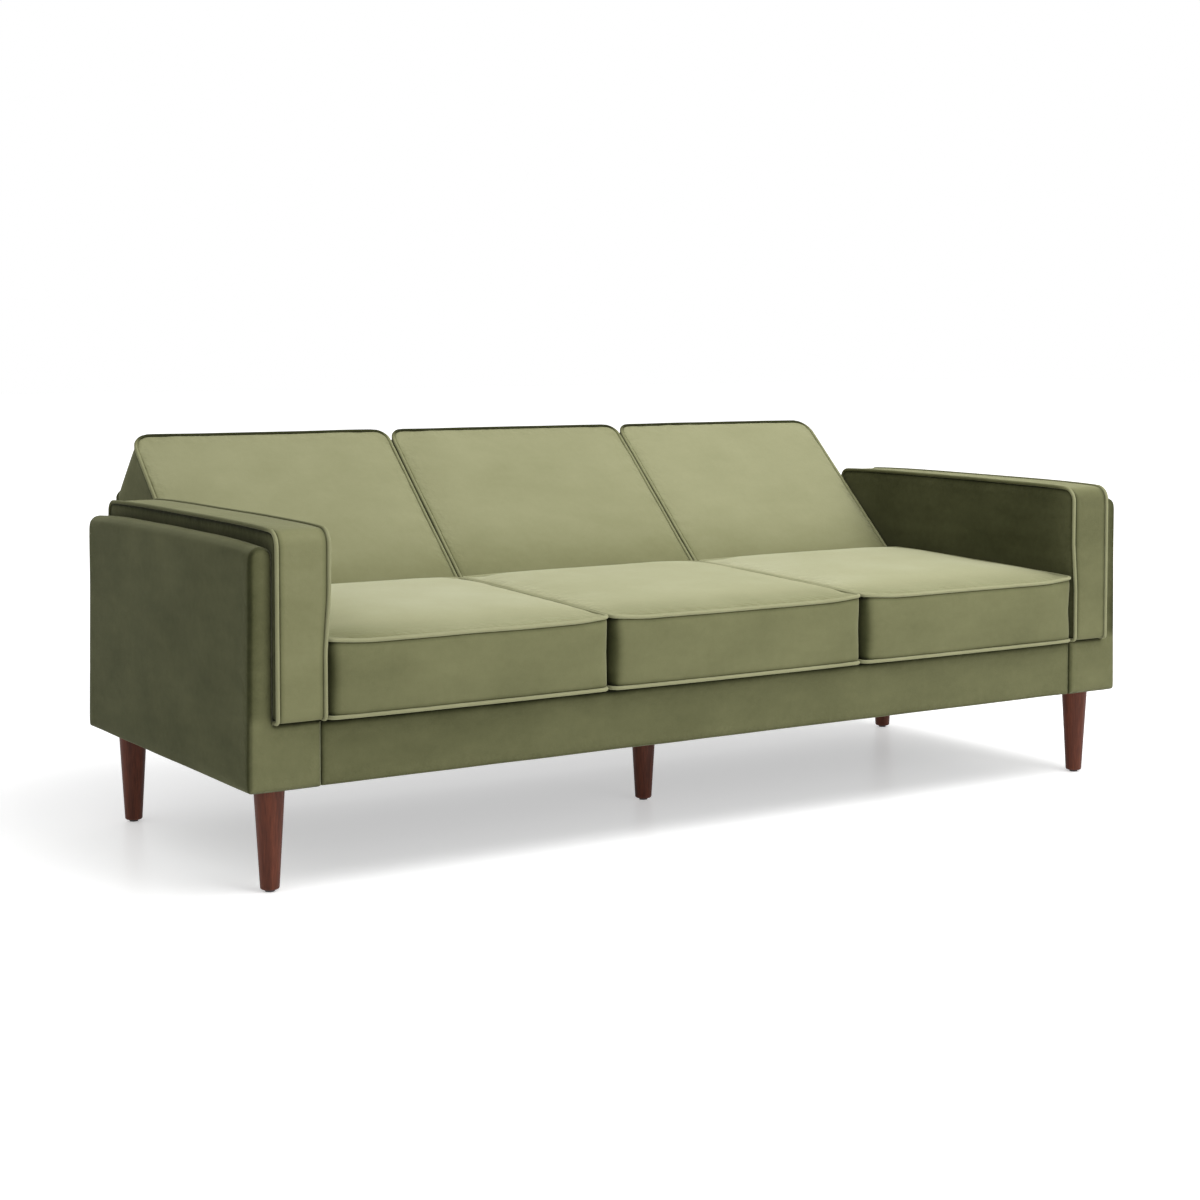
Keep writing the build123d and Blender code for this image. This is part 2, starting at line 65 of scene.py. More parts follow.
# Velvet, as linear colours on one scale of painted light and shade, partly set by its nap: from painted shade down
# in a seam to painted light on the brightest, brushed tops
VELVET_PAINTED_SHADE_RAMP = ((-0.13, (0.012, 0.013, 0.0050)), (0.0, (0.034, 0.036, 0.0135)), (0.5, (0.142, 0.143, 0.071)),
          (1.0, (0.250, 0.250, 0.148)), (1.2, (0.310, 0.310, 0.205)))

# How light each piece is painted, on the velvet scale above: partly the nap's direction, partly painted light and
# shade from how the lamps fall, such as lit seat tops, shaded sides and gussets and dark rear cords
SEAT_SHADES = {"left": 1.09, "middle": 0.99, "right": 1.03}
SEAT_FRONT_SHADE = 0.39
SEAT_CORD_SHADES = {"top": 0.85, "bottom": 0.80}
BACK_SHADES = {"left": 0.72, "middle": 0.73, "right": 0.79}
BACK_BAND_SHADE = 0.18
BACK_CORD_SHADES = {"front": 0.64, "rear": 0.05}
PAD_SHADES = {"left": (0.42, 0.54), "right": (0.57, 0.29)}
PAD_SIDE_SHADE = 0.06
PAD_CORD_SHADE = 0.24
FACING_SHADE = 0.36
STRIP_SHADES = {"left": 0.16, "right": 0.03}
PANEL_SHADE = 0.07
APRON_SHADE = 0.25

# Sewing: the seams' depth, the painted shade along them and the puckers beside them, and the mesh's spacing
INSET = 4 * MM
CORD = 3.9 * MM
CORD_SINK = 0.6 * MM
CORD_SIDES = 10
TUCK = 4.6 * MM
APRON_TUCK = 2 * MM
# Painted shade along the seams: on the face and the band beside a cord, on plain seams, and how far it reaches
FACE_SEAM_SHADE, BAND_SEAM_SHADE = 0.35, 0.75
PLAIN_SEAM_SHADE = 0.16
SEAM_SHADE_REACH = 6 * MM
PUCKER_REACH = 28 * MM
BAND_PUCKER = 0.3
SEAM_STEPS = (0.0, 4.5 * MM, 8 * MM, 14 * MM, 22 * MM)
PITCH = 15 * MM
SIMULATED_FRAMES = 20

# Stitches, whose rings are given by their part of the length, half width and height
STITCH = 4.2 * MM
STITCH_GAP = 2.4 * MM
STITCH_RINGS = ((0, 0.2 * MM, -0.2 * MM), (0.2, 0.45 * MM, 0.5 * MM), (0.8, 0.45 * MM, 0.5 * MM),
                (1, 0.2 * MM, -0.2 * MM))

# The seat cushions
SEAT_CORNERS = (17 * MM, 17 * MM, 10 * MM, 10 * MM)
SEAT_CROWN = 17 * MM
SEAT_BULGE = 8 * MM
SEAT_SIDE_RISE = 1 * MM
SEAT_FRONT_REACH = 25 * MM
SEAT_SLOPE = 18 * MM
SEAT_DIP = 5 * MM
SEAT_LIFT = 3 * MM
SEAT_BOW = 5 * MM
SEAT_LEAN = 3 * MM

# The back, measured from its pivot as in the frame
LEAN = math.radians(47.4)
BACK_FRONT = 40 * MM
BACK_REAR = 125 * MM
BACK_TOP = 470 * MM
BACK_BOTTOM = -25 * MM
BACK_JOINS = (-298 * MM, 328 * MM)
BACK_LOWER_CORNER = 4 * MM
BACK_CORNER, BACK_END_CORNER = 32 * MM, 41 * MM
BACK_INSET, BACK_END_INSET = 5 * MM, 1 * MM
BACK_CROWN = 17 * MM
BACK_TOP_RISE = 5 * MM
BACK_SIDE_RISE = 0.5 * MM
BACK_LIFT = 11 * MM
PLATE_PROUD = 2.7 * MM
NOSE_CLEAR = 1 * MM

# The arms and the apron
PAD_CORNERS = (8 * MM, 8 * MM, 20 * MM, 28 * MM)
PAD_RISE = 4 * MM
PAD_OUTER_RISE = 1 * MM
PAD_CROWN = 5 * MM
PAD_SETTLE = 1 * MM
PAD_LEAN = 8 * MM
HINGE_IN = 50 * MM
HINGE_REACH = 110 * MM
SHELL_CORNERS = (5 * MM, 1 * MM, 22 * MM, 22 * MM)
SHELL_TOP_REACH = 23 * MM
FACING_RISE = 5 * MM
SHELL_RISE = 2 * MM
SHELL_HIDDEN_RISE = 0.4 * MM
SHELL_CROWN, SHELL_DROOP = 4 * MM, 10 * MM
SHELL_HOLLOW = 4 * MM
APRON_CORNER = 1 * MM
APRON_RISE = 3 * MM

# The black cloths
REAR_CLOTH_EDGE = 10 * MM
REAR_CLOTH_TOP = 36 * MM
ARM_CLOTH_EDGE = 7 * MM
CLOTH_CLEAR = 1 * MM
CLOTH_THICKNESS = 0.8 * MM
CLOTH_RIPPLE = 0.9 * MM
HEM = 14 * MM
HEM_RISE = 0.7 * MM

# The studio: the floor glows more with distance from the sofa, so that it fades into the white around it
FLOOR_GLOW = {"From Min": 1.6, "From Max": 7.0, "To Min": 0.42, "To Max": 0.85}
FLOOR_SIZE = 60
WORLD_LIGHT, WORLD_SEEN = 0.36, 1.0


# ---------------------------------------------------------------- meshes

def steps(length):
    """Distances along a side: close together near its ends, where seams are, and even between."""
    close = [s for s in SEAM_STEPS if s < length / 2]
    inner = length - 2 * close[-1]
    count = max(1, round(inner / PITCH))
    middle = [close[-1] + inner * (i + 1) / count for i in range(count)]
    return close + middle + [length - s for s in reversed(close[:-1])]


def lines(length, split):
    """Steps along a side that has a corner partway, at split, or none where split is the whole length."""
    if split == length:
        return steps(length)
    return steps(split) + [split + s for s in steps(length - split)[1:]]


def rounded(u, v, corners):
    """Moves a point of an outline so that the outline's corners are round."""
    for cu, cv, to_u, to_v, radius in corners:
        du, dv = (u - cu) * to_u, (v - cv) * to_v
        if 0 <= du < radius and 0 <= dv < radius:
            a, b = radius - du, radius - dv
            scale = max(a, b) / math.hypot(a, b)
            return cu + to_u * (radius - a * scale), cv + to_v * (radius - b * scale)
    return u, v


class Slab:
    """A padded slab as one closed mesh: face A, a band round its edge, and face B.

    Local axes: u and v in the faces, w from face A to face B. A notch at (u, v) makes it L-shaped,
    without the part beyond both. The region of each vertex and the two seam loops are kept, so that
    seams, piping and shading can find them.
    """

    def __init__(self, width, height, depth, radii=(0, 0, 0, 0), notch=None):
        self.size = (width, height, depth)
        cut_u, cut_v = notch or (width, height)
        us, vs, ws = lines(width, cut_u), lines(height, cut_v), steps(depth)
        at_u, at_v = us.index(cut_u), vs.index(cut_v)
        last_u, last_v = len(us) - 1, len(vs) - 1
        places = ((0, 0, 1, 1), (width, 0, -1, 1), (cut_u, height, -1, -1), (0, height, 1, -1))
        corners = [(*place, radius) for place, radius in zip(places, radii)]
        self.points, self.quads, self.region = [], [], []
        for w, region in ((0.0, "a"), (depth, "b")):
            grid = {}
            for j, v in enumerate(vs):
                for i, u in enumerate(us):
                    if i <= at_u or j <= at_v:
                        grid[i, j] = self.add(*rounded(u, v, corners), w, region)
            for i, j in grid:
                cell = [grid.get(place) for place in ((i, j), (i + 1, j), (i + 1, j + 1), (i, j + 1))]
                if None not in cell and (i < at_u or j < at_v):
                    self.quads.append(cell if region == "b" else cell[::-1])
            turns = [(0, 0), (last_u, 0), (last_u, at_v), (at_u, at_v), (at_u, last_v), (0, last_v)]
            loop = [grid[place] for place in self.walk(turns)]
            if region == "a":
                self.loop_a = loop
            else:
                self.loop_b = loop
        self.add_band(ws)
        self.points, self.region = np.array(self.points), np.array(self.region)

    def add(self, u, v, w, region):
        """Adds a vertex and returns its number."""
        self.points.append((u, v, w))
        self.region.append(region)
        return len(self.points) - 1

    @staticmethod
    def walk(turns):
        """Grid places along a closed outline with square turns, each once."""
        places = []
        for (i, j), (to_i, to_j) in zip(turns, turns[1:] + turns[:1]):
            while (i, j) != (to_i, to_j):
                places.append((i, j))
                i += (to_i > i) - (to_i < i)
                j += (to_j > j) - (to_j < j)
        return places

    def add_band(self, ws):
        """Joins the two faces by rows of vertices at the steps between them."""
        rows = [self.loop_a]
        for w in ws[1:-1]:
            rows.append([self.add(*self.points[index][:2], w, "band") for index in self.loop_a])
        rows.append(self.loop_b)
        for low, high in zip(rows, rows[1:]):
            for k in range(len(low)):
                after = (k + 1) % len(low)
                self.quads.append([low[k], low[after], high[after], high[k]])

    def seams(self):
        """True at the vertices of the two seam loops."""
        out = np.zeros(len(self.points), bool)
        out[self.loop_a + self.loop_b] = True
        return out

    def from_seam(self):
        """How far each vertex is from the nearest seam, measured on its own part."""
        outline = self.points[self.loop_a][:, :2]
        after = np.roll(outline, -1, axis=0)
        along = after - outline
        length = np.maximum((along**2).sum(axis=1), 1e-12)
        offset = self.points[:, None, :2] - outline[None]
        part = np.clip((offset * along).sum(axis=2) / length, 0, 1)
        flat = np.linalg.norm(offset - along * part[:, :, None], axis=2).min(axis=1)
        w = self.points[:, 2]
        return np.where(self.region == "band", np.minimum(w, self.size[2] - w), flat)

    def outward(self, loop):
        """Unit directions out of the outline in the plane of the faces, one for each vertex of a loop."""
        outline = self.points[loop]
        along = np.roll(outline, -1, axis=0) - np.roll(outline, 1, axis=0)
        out = np.stack([along[:, 1], -along[:, 0], np.zeros(len(loop))], axis=1)
        return out / np.linalg.norm(out, axis=1, keepdims=True)

    def corner_direction(self, loop):
        """Unit directions that bisect the corner between the band and the face at a loop, outwards."""
        away = np.array((0, 0, -1.0 if loop is self.loop_a else 1.0))
        return (self.outward(loop) + away) / math.sqrt(2)

    def normals(self):
        """Outward unit normals in local axes."""
        mesh = bpy.data.meshes.new("scratch")
        mesh.from_pydata(self.points.tolist(), [], self.quads)
        mesh.update()
        out = np.empty(len(self.points) * 3)
        mesh.vertex_normals.foreach_get("vector", out)
        bpy.data.meshes.remove(mesh)
        return out.reshape(-1, 3)


def axes(u, v, w, origin):
    """The matrix that takes local u, v, w to the sofa's frame."""
    matrix = Matrix.Identity(4)
    for column, vector in enumerate((u, v, w, origin)):
        for row in range(3):
            matrix[row][column] = vector[row]
    return matrix


def mesh_object(name, points, quads, matrix=None):
    """A smooth mesh object. Where the matrix mirrors it, its faces are turned the right way out again."""
    mesh = bpy.data.meshes.new(name)
    mesh.from_pydata(np.asarray(points).tolist(), [], quads)
    if matrix is not None:
        mesh.transform(matrix)
        if matrix.determinant() < 0:
            mesh.flip_normals()
    mesh.update()
    mesh.shade_smooth()
    obj = bpy.data.objects.new(name, mesh)
    bpy.context.scene.collection.objects.link(obj)
    return obj


def tube(path, radius, sides):
    """Points and quads of a closed tube round a closed path."""
    path = [Vector(p) for p in path]
    count = len(path)
    tangents = [(path[(k + 1) % count] - path[k - 1]).normalized() for k in range(count)]
    frames = []
    across = tangents[0].orthogonal()
    for tangent in tangents + tangents[:1]:
        across = (across - tangent * across.dot(tangent)).normalized()
        frames.append(across)
    start, end = frames[0], frames[-1]
    twist = math.atan2(tangents[0].dot(start.cross(end)), start.dot(end))
    points, quads = [], []
    for k in range(count):
        up = tangents[k].cross(frames[k])
        for s in range(sides):
            angle = 2 * math.pi * s / sides - twist * k / count
            points.append(path[k] + (frames[k] * math.cos(angle) + up * math.sin(angle)) * radius)
    for k in range(count):
        after = (k + 1) % count
        for s in range(sides):
            t = (s + 1) % sides
            quads.append([k * sides + s, k * sides + t, after * sides + t, after * sides + s])
    return points, quads


def subdivide(obj):
    """One level of subdivision, in the viewport and in renders alike."""
    modifier = obj.modifiers.new("subdivision", "SUBSURF")
    modifier.levels = 1
    modifier.render_levels = 1


def near(distance, reach):
    """1 at no distance, falling smoothly to 0 well beyond the reach."""
    return np.exp(-np.square(np.maximum(distance, 0) / reach))


# ---------------------------------------------------------------- soft pieces

def inflate(slab, rise, pinned, ease, evening):
    """Cloth simulation of a filled cover: the pinned seams stay and the panels swell, by the rise at most.

    Ease is how much looser the cover is than its filling, as a part of its size, and evening is how many
    times its ripples are evened out.
    """
    obj = mesh_object("filling", slab.points, slab.quads)
    group = obj.vertex_groups.new(name="seams")
    group.add(np.flatnonzero(pinned).tolist(), 1.0, "REPLACE")
    cloth = obj.modifiers.new("cloth", "CLOTH")
    settings = cloth.settings
    settings.quality = 6
    settings.mass = 0.25
    settings.tension_stiffness = 25
    settings.compression_stiffness = 25
    settings.shear_stiffness = 8
    settings.bending_stiffness = 0.4
    settings.use_pressure = True
    settings.uniform_pressure_force = 4.0
    settings.effector_weights.gravity = 0.0
    settings.vertex_group_mass = "seams"
    settings.shrink_min = -ease
    cloth.point_cache.frame_start = 1
    cloth.point_cache.frame_end = SIMULATED_FRAMES
    scene = bpy.context.scene
    for frame_number in range(1, SIMULATED_FRAMES + 1):
        scene.frame_set(frame_number)
    result = obj.evaluated_get(bpy.context.evaluated_depsgraph_get()).to_mesh()
    out = np.empty(len(slab.points) * 3)
    result.vertices.foreach_get("co", out)
    bpy.data.objects.remove(obj)
    scene.frame_set(1)
    move = evened(slab, out.reshape(-1, 3) - slab.points, pinned, evening)
    far = np.maximum(np.linalg.norm(move, axis=1, keepdims=True), 1e-9)
    limit = np.maximum(rise, 1e-6)[:, None]
    return slab.points + move * limit * np.tanh(far / limit) / far


def evened(slab, move, pinned, rounds):
    """Movements averaged with those of their neighbours, except at pinned vertices."""
    quads = np.array(slab.quads)
    a, b = quads.ravel(), np.roll(quads, -1, axis=1).ravel()
    count = np.zeros(len(move))
    np.add.at(count, a, 1)
    np.add.at(count, b, 1)
    for _ in range(rounds):
        total = np.zeros_like(move)
        np.add.at(total, a, move[b])
        np.add.at(total, b, move[a])
        blended = (move + total / count[:, None]) / 2
        move = np.where(pinned[:, None], move, blended)
    return move


def waver(slab, points, amount, scale, seed):
    """Small slow unevenness, as hand-fitted covers have, except on face B, which lies on something flat."""
    shift = Vector((seed * 7.3, seed * 3.1, seed * 1.7))
    moves = np.array([noise.noise_vector(Vector(p) * scale + shift) for p in points])
    return points + moves * np.where(slab.region == "b", 0, amount)[:, None]


def tucked(slab, points, loops, depth):
    """Draws seam loops into the corner between face and band."""
    out = points.copy()
    for loop in loops:
        out[loop] -= slab.corner_direction(loop) * depth
    return out


def set_attribute(obj, name, values):
    """A number for each vertex, for the material to read."""
    attribute = obj.data.attributes.new(name, "FLOAT", "POINT")
    values = np.broadcast_to(np.asarray(values, dtype=np.float32), len(obj.data.vertices))
    attribute.data.foreach_set("value", np.ascontiguousarray(values))


def finish_velvet(obj, shade, body):
    """Gives a piece its shade per vertex, partly its nap and partly painted light and shade, and the velvet, and
    says which body it rides.
    """
    set_attribute(obj, "nap_and_painted_shade", shade)
    obj.data.materials.append(MATERIALS["olive_velvet"])
    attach(obj, body)


def cover(name, slab, points, matrix, body, node, shade, piped=True):
    """A finished cover in place of its CAD node: painted shade along its seams, and puckered."""
    obj = mesh_object(name, points, slab.quads, matrix)
    distance = slab.from_seam()
    # Painted shade along the seams, stronger on the band than on the face
    seam_shade = np.where(slab.region == "a", FACE_SEAM_SHADE, BAND_SEAM_SHADE) if piped else PLAIN_SEAM_SHADE
    finish_velvet(obj, shade - seam_shade * near(distance, SEAM_SHADE_REACH), body)
    pucker = np.where(slab.region == "a", 1.0, BAND_PUCKER) * near(distance - SEAM_SHADE_REACH, PUCKER_REACH)
    set_attribute(obj, "pucker", pucker)
    subdivide(obj)
    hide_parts(node)


def piping(name, slab, points, loop, matrix, body, shade):
    """A covered cord sewn into a seam, standing a little proud of both panels.

    The shade is one value, or one for each vertex of the loop.
    """
    path = points[loop] - slab.corner_direction(loop) * CORD_SINK
    cord_points, quads = tube([matrix @ Vector(p) for p in path], CORD, CORD_SIDES)
    obj = mesh_object(name, cord_points, quads)
    finish_velvet(obj, np.repeat(np.broadcast_to(shade, len(loop)), CORD_SIDES), body)


def stitches(name, path, normals, body):
    """A row of thread stitches along an open path of points, lying on the surface."""
    path = np.array(path)
    legs = np.linalg.norm(np.diff(path, axis=0), axis=1)
    reach = np.concatenate([[0], np.cumsum(legs)])
    starts = np.arange(0, reach[-1] - STITCH, STITCH + STITCH_GAP)

    def at(distances, values):
        return np.stack([np.interp(distances, reach, values[:, axis]) for axis in range(3)], axis=1)

    heads, tails = at(starts, path), at(starts + STITCH, path)
    ups = at(starts + STITCH / 2, np.array(normals))
    points, quads = [], []
    for head, tail, up in zip(heads, tails, ups):
        along = (tail - head) / np.linalg.norm(tail - head)
        across = np.cross(up, along)
        first = len(points)
        for part, width, height in STITCH_RINGS:
            middle = head + (tail - head) * part
            points += [middle - across * width, middle + up * height, middle + across * width]
        last = len(points) - 3
        for base in range(first, last, 3):
            quads += [[base, base + 1, base + 4, base + 3], [base + 1, base + 2, base + 5, base + 4]]
            quads.append([base + 2, base, base + 3, base + 5])
        quads += [[first + 2, first + 1, first], [last, last + 1, last + 2]]
    obj = mesh_object(name, points, quads)
    obj.data.materials.append(MATERIALS["thread"])
    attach(obj, body)


# ---------------------------------------------------------------- materials

class Shader:
    """A new material with helpers that add its nodes."""

    def __init__(self, name):
        self.material = bpy.data.materials.new(name)
        self.material.use_nodes = True
        self.tree = self.material.node_tree
        self.principled = self.tree.nodes["Principled BSDF"]

    def add(self, kind, **values):
        """A new node with constant values in its sockets or, where no socket has the name, its settings."""
        node = self.tree.nodes.new(kind)
        for key, value in values.items():
            if key in node.inputs:
                node.inputs[key].default_value = value
            else:
                setattr(node, key, value)
        return node

    def noise(self, scale, detail=3.0, stretch=(1, 1, 1)):
        """Noise in the object's own space, in repeats per metre."""
        place = self.add("ShaderNodeTexCoord")
        mapping = self.add("ShaderNodeMapping", Scale=stretch)
        texture = self.add("ShaderNodeTexNoise", Scale=scale, Detail=detail)
        self.tree.links.new(place.outputs["Object"], mapping.inputs["Vector"])
        self.tree.links.new(mapping.outputs["Vector"], texture.inputs["Vector"])
        return texture.outputs["Fac"]

    def math(self, operation, *values, clamp=False):
        """The result of a calculation with numbers and other nodes' outputs."""
        node = self.add("ShaderNodeMath", operation=operation, use_clamp=clamp)
        for socket, value in zip(node.inputs, values):
            if isinstance(value, (int, float)):
                socket.default_value = value
            else:
                self.tree.links.new(value, socket)
        return node.outputs["Value"]

    def centred(self, fac, amount):
        """A 0 to 1 factor turned into one that varies about nought by the amount."""
        return self.math("MULTIPLY_ADD", fac, amount, -amount / 2)

    def colour(self, fac, dark, light):
        """Base colour from dark at a factor of 0 to light at 1."""
        mix = self.add("ShaderNodeMix", data_type="RGBA")
        mix.inputs["A"].default_value = (*dark, 1)
        mix.inputs["B"].default_value = (*light, 1)
        self.tree.links.new(fac, mix.inputs["Factor"])
        self.tree.links.new(mix.outputs["Result"], self.principled.inputs["Base Color"])

    def ramp(self, fac, stops):
        """Colour from stops of (place, linear colour), evenly between them."""
        node = self.add("ShaderNodeValToRGB")
        elements = node.color_ramp.elements
        for element, (place, colour) in zip(elements, (stops[0], stops[-1])):
            element.position, element.color = place, (*colour, 1)
        for place, colour in stops[1:-1]:
            elements.new(place).color = (*colour, 1)
        self.tree.links.new(fac, node.inputs["Fac"])
        self.tree.links.new(node.outputs["Color"], self.principled.inputs["Base Color"])

    def bump(self, height, strength, distance, below=None):
        """Bumps for the surface's normal, on top of those below."""
        node = self.add("ShaderNodeBump", Strength=strength, Distance=distance)
        self.tree.links.new(height, node.inputs["Height"])
        if below is not None:
            self.tree.links.new(below, node.inputs["Normal"])
        self.tree.links.new(node.outputs["Normal"], self.principled.inputs["Normal"])
        return node.outputs["Normal"]

    def settings(self, **values):
        """Constant values, set on the shader's own sockets; underscores stand for spaces."""
        for key, value in values.items():
            self.principled.inputs[key.replace("_", " ")].default_value = value
        return self.material


def velvet():
    """Short-pile velvet. A per-vertex attribute, partly its nap and partly painted light and shade, says how light
    it looks; brushed patches and the pile vary it.
    """
    shader = Shader("olive_velvet")
    nap_and_painted_shade = shader.add("ShaderNodeAttribute", attribute_name="nap_and_painted_shade").outputs["Fac"]
    pucker = shader.add("ShaderNodeAttribute", attribute_name="pucker").outputs["Fac"]
    brushed = shader.noise(6.0, 4.0, (1, 1, 1.5))
    streaks = shader.noise(24.0, 3.0, (0.5, 0.5, 1.6))
    mottle = shader.noise(70.0, 3.0)
    pile = shader.noise(1100.0, 2.0)
    total = nap_and_painted_shade
    for pattern, amount in ((brushed, 0.20), (streaks, 0.10), (mottle, 0.07), (pile, 0.20)):
        total = shader.math("ADD", total, shader.centred(pattern, amount))
    # The painted light and shade, with the nap, mapped onto the ramp of velvet colours
    lowest, span = VELVET_PAINTED_SHADE_RAMP[0][0], VELVET_PAINTED_SHADE_RAMP[-1][0] - VELVET_PAINTED_SHADE_RAMP[0][0]
    total = shader.math("MULTIPLY_ADD", total, 1 / span, -lowest / span, clamp=True)
    shader.ramp(total, [((place - lowest) / span, colour) for place, colour in VELVET_PAINTED_SHADE_RAMP])
    folds = shader.math("MULTIPLY", shader.noise(48.0, 2.0), pucker)
    puckered = shader.bump(folds, 0.8, 0.006)
    soft = shader.bump(mottle, 0.10, 0.0012, below=puckered)
    shader.bump(pile, 0.35, 0.0004, below=soft)
    return shader.settings(
        Roughness=0.94,
        Specular_IOR_Level=0.10,
        Sheen_Weight=0.22,
        Sheen_Roughness=0.35,
        Sheen_Tint=(0.80, 0.82, 0.56, 1),
    )


def stained_wood():
    """Dark reddish stained hardwood, its grain along the leg, under a satin lacquer."""
    shader = Shader("walnut_stained_wood")
    bands = shader.noise(70.0, 5.0, (1.0, 1.0, 0.06))
    pores = shader.noise(520.0, 3.0, (1.0, 1.0, 0.03))
    grain = shader.math("MULTIPLY", shader.math("MULTIPLY", bands, pores), 2.4, clamp=True)
    shader.colour(grain, (0.023, 0.0055, 0.0026), (0.118, 0.031, 0.0145))
    shader.bump(pores, 0.12, 0.0003)
    return shader.settings(Roughness=0.48, Specular_IOR_Level=0.15, Coat_Weight=0.05, Coat_Roughness=0.25)


def plain_wood(name, dark, light):
    """Unfinished timber or ply, its grain along X."""
    shader = Shader(name)
    shader.colour(shader.noise(40.0, 5.0, (0.08, 1.0, 1.0)), dark, light)
    shader.bump(shader.noise(300.0, 2.0, (0.05, 1.0, 1.0)), 0.2, 0.0005)
    return shader.settings(Roughness=0.75)


def zinc_steel():
    """Bright zinc plate with a faint spangle."""
    shader = Shader("zinc_steel")
    spangle = shader.noise(160.0, 4.0)
    shader.colour(spangle, (0.34, 0.34, 0.32), (0.60, 0.60, 0.58))
    shader.bump(spangle, 0.08, 0.0002)
    return shader.settings(Metallic=0.9, Roughness=0.38)


def fibrous(name, dark, light, threads, roughness=0.9):
    """Woven or felted cloth, with its threads to the metre."""
    shader = Shader(name)
    place = shader.add("ShaderNodeTexCoord")
    weave = shader.add("ShaderNodeTexChecker", Scale=threads)
    shader.tree.links.new(place.outputs["Object"], weave.inputs["Vector"])
    fuzz = shader.noise(threads * 0.7, 3.0)
    cloud = shader.noise(12.0, 3.0)
    shader.colour(shader.math("ADD", shader.centred(cloud, 0.5), fuzz, clamp=True), dark, light)
    shader.bump(shader.math("ADD", weave.outputs["Fac"], fuzz), 0.3, 0.0005)
    return shader.settings(Roughness=roughness, Specular_IOR_Level=0.2)


def cellular(name, dark, light, scale, strength, roughness):
    """Foam or moulded plastic, by the scale and depth of its texture."""
    shader = Shader(name)
    cells = shader.noise(scale, 2.0)
    shader.colour(cells, dark, light)
    shader.bump(cells, strength, 0.0005)
    return shader.settings(Roughness=roughness)


MATERIALS = {
    "olive_velvet": velvet(),
    "thread": fibrous("thread", (0.030, 0.032, 0.014), (0.085, 0.088, 0.042), 1500),
    "walnut_stained_wood": stained_wood(),
    "frame_timber": plain_wood("frame_timber", (0.42, 0.28, 0.15), (0.60, 0.44, 0.26)),
    "plywood": plain_wood("plywood", (0.38, 0.25, 0.13), (0.56, 0.40, 0.24)),
    "zinc_steel": zinc_steel(),
    "black_cloth": fibrous("black_cloth", (0.007, 0.007, 0.007), (0.024, 0.024, 0.024), 900),
    "webbing": fibrous("webbing", (0.012, 0.012, 0.014), (0.05, 0.05, 0.055), 400),
    "felt": fibrous("felt", (0.20, 0.20, 0.19), (0.36, 0.36, 0.34), 600),
    "foam": cellular("foam", (0.50, 0.45, 0.28), (0.74, 0.68, 0.46), 700, 0.8, 0.95),
    "black_plastic": cellular("black_plastic", (0.010,) * 3, (0.022,) * 3, 900, 0.1, 0.45),
}


def dress_cad_nodes():
    """Gives every CAD node the material of its slot."""
    for part in frame["record"]["subparts"]:
        obj = frame["nodes"][part["node"]]
        obj.data.materials.clear()
        obj.data.materials.append(MATERIALS[part["material_slot"]])


# ---------------------------------------------------------------- the sofa

def seat_cushion(number, place):
    """A box cushion: crowned top, bulged front, flat underside, round corners, piping round both edges."""
    node = f"seat_cushion_{place}"
    low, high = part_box(node)
    width, length = high[0] - low[0] - 2 * INSET, high[1] - low[1] - 2 * INSET
    depth = high[2] - low[2]
    slab = Slab(width, length, depth, SEAT_CORNERS)
    front = (slab.region == "band") & (slab.points[:, 1] < SEAT_FRONT_REACH)
    parts = [slab.region == "a", front, slab.region == "band"]
    rise = np.select(parts, [SEAT_CROWN, SEAT_BULGE, SEAT_SIDE_RISE], 0)
    pinned = slab.seams() | (slab.region == "b")
    points = inflate(slab, rise, pinned, ease=0.010, evening=2)
    points = seat_shape(slab, points)
    points = waver(slab, points, 1.0 * MM, 9.0, number)
    matrix = axes(RIGHT, REAR, -UP, (low[0] + INSET, low[1] + INSET, high[2]))
    soft = tucked(slab, points, (slab.loop_a, slab.loop_b), TUCK)
    cover(f"seat_cover_{place}", slab, soft, matrix, "base", node, seat_shade(slab, place))
    for edge, loop in (("top", slab.loop_a), ("bottom", slab.loop_b)):
        piping(f"seat_piping_{edge}_{place}", slab, points, loop, matrix, "base", SEAT_CORD_SHADES[edge])


def seat_shape(slab, points):
    """The seat's slope to the front, the seams' curves, and the rear edge's lean towards the back."""
    width, length, depth = slab.size
    u, v, w = slab.points.T
    high = 1 - w / depth
    along = np.abs(2 * u / width - 1)
    slope = SEAT_SLOPE * (1 - v / length) ** 1.4
    dip = SEAT_DIP * (1 - near(np.minimum(u, width - u), 0.05)) * near(v, 0.09)
    lift = SEAT_LIFT * (1 - along**2.5) * near(length - v, 0.14)
    out = points.copy()
    out[:, 2] += high * (slope + dip - lift)
    out[:, 1] -= SEAT_BOW * (1 - along**3) * near(v, 0.10)
    out[:, 1] += SEAT_LEAN * near(length - v, 0.05) * near(w, 0.03)
    return out


def seat_shade(slab, place):
    """Painted light and shade: light on top and lighter towards the rear, painted shade at its front edge and by
    the left arm, a painted shadow, darkest, in the front's left corner and a painted highlight on its right one.
    """
    width, length, _ = slab.size
    u, v = slab.points[:, 0], slab.points[:, 1]
    top = SEAT_SHADES[place] + 0.10 * v / length - 0.34 * near(v, 0.08)
    if place == "left":
        top -= 0.30 * near(u, 0.15)
    band = SEAT_FRONT_SHADE - 0.42 * near(u, 13 * MM) + 0.10 * near(width - u, 6 * MM)
    return np.where(slab.region == "a", top, band)


